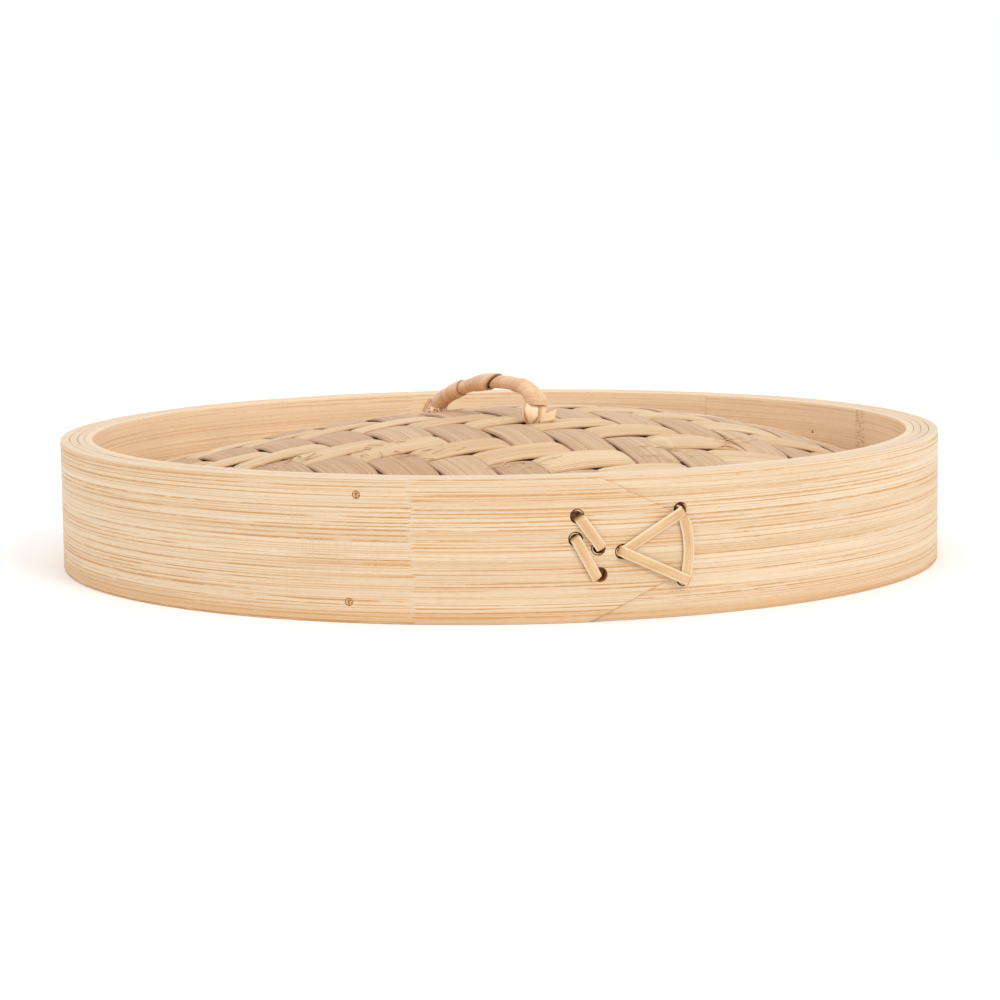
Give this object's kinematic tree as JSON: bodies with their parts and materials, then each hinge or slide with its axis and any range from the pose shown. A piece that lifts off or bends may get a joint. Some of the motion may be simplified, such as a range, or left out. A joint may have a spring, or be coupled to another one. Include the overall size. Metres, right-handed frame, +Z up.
{
  "type": "bamboo steamer lid",
  "caption": "Round bamboo steamer lid: a low laced bamboo hoop holding a domed, twill-woven cover with a small wrapped cane loop handle.",
  "frame": {"origin": "centre of the hoop's bottom rim, on the plane it rests on", "axes": "+Z up along the hoop's axis, -Y towards the laced lap at the front, +X to the right seen from the front"},
  "size_m": [0.254, 0.254, 0.0533],
  "materials": {
    "band_bamboo": "planed pale bamboo with amber fibre streaks, satin",
    "ring_bamboo": "planed honey-coloured bamboo, satin",
    "light_strip_bamboo": "split cream bamboo, matt with a slight sheen",
    "dark_strip_bamboo": "split tan bamboo, matt, fibrous",
    "lining_bamboo": "rough split bamboo, matt",
    "lacing_cane": "smooth split cane, slightly glossy",
    "peg_bamboo": "end grain, matt",
    "core_cane": "round cane, matt",
    "handle_cane": "smooth split cane, slightly glossy"
  },
  "bodies": {
    "root": {"outer_band": "band_bamboo", "second_band": "band_bamboo", "upper_packing_ring": "ring_bamboo", "upper_face_ring": "ring_bamboo", "lower_packing_ring": "ring_bamboo", "lower_face_ring": "ring_bamboo", "lap_lacing": "lacing_cane", "tongue_lacing": "lacing_cane", "upper_pegs": "peg_bamboo", "lower_pegs": "peg_bamboo", "cover_light_strip_01": "light_strip_bamboo", "cover_light_strip_02": "light_strip_bamboo", "cover_light_strip_03": "light_strip_bamboo", "cover_light_strip_04": "light_strip_bamboo", "cover_light_strip_05": "light_strip_bamboo", "cover_light_strip_06": "light_strip_bamboo", "cover_light_strip_07": "light_strip_bamboo", "cover_light_strip_08": "light_strip_bamboo", "cover_light_strip_09": "light_strip_bamboo", "cover_light_strip_10": "light_strip_bamboo", "cover_light_strip_11": "light_strip_bamboo", "cover_light_strip_12": "light_strip_bamboo", "cover_light_strip_13": "light_strip_bamboo", "cover_light_strip_14": "light_strip_bamboo", "cover_light_strip_15": "light_strip_bamboo", "cover_light_strip_16": "light_strip_bamboo", "cover_light_strip_17": "light_strip_bamboo", "cover_light_strip_18": "light_strip_bamboo", "cover_dark_strip_01": "dark_strip_bamboo", "cover_dark_strip_02": "dark_strip_bamboo", "cover_dark_strip_03": "dark_strip_bamboo", "cover_dark_strip_04": "dark_strip_bamboo", "cover_dark_strip_05": "dark_strip_bamboo", "cover_dark_strip_06": "dark_strip_bamboo", "cover_dark_strip_07": "dark_strip_bamboo", "cover_dark_strip_08": "dark_strip_bamboo", "cover_dark_strip_09": "dark_strip_bamboo", "cover_dark_strip_10": "dark_strip_bamboo", "cover_dark_strip_11": "dark_strip_bamboo", "cover_dark_strip_12": "dark_strip_bamboo", "cover_dark_strip_13": "dark_strip_bamboo", "cover_dark_strip_14": "dark_strip_bamboo", "cover_dark_strip_15": "dark_strip_bamboo", "cover_dark_strip_16": "dark_strip_bamboo", "cover_dark_strip_17": "dark_strip_bamboo", "cover_dark_strip_18": "dark_strip_bamboo", "cover_dark_strip_19": "dark_strip_bamboo", "lining_long_strips": "lining_bamboo", "lining_cross_strips": "lining_bamboo", "handle_core": "core_cane", "handle_wrap": "handle_cane", "handle_front_binding": "handle_cane", "handle_rear_binding": "handle_cane"}
  },
  "joints": []
}
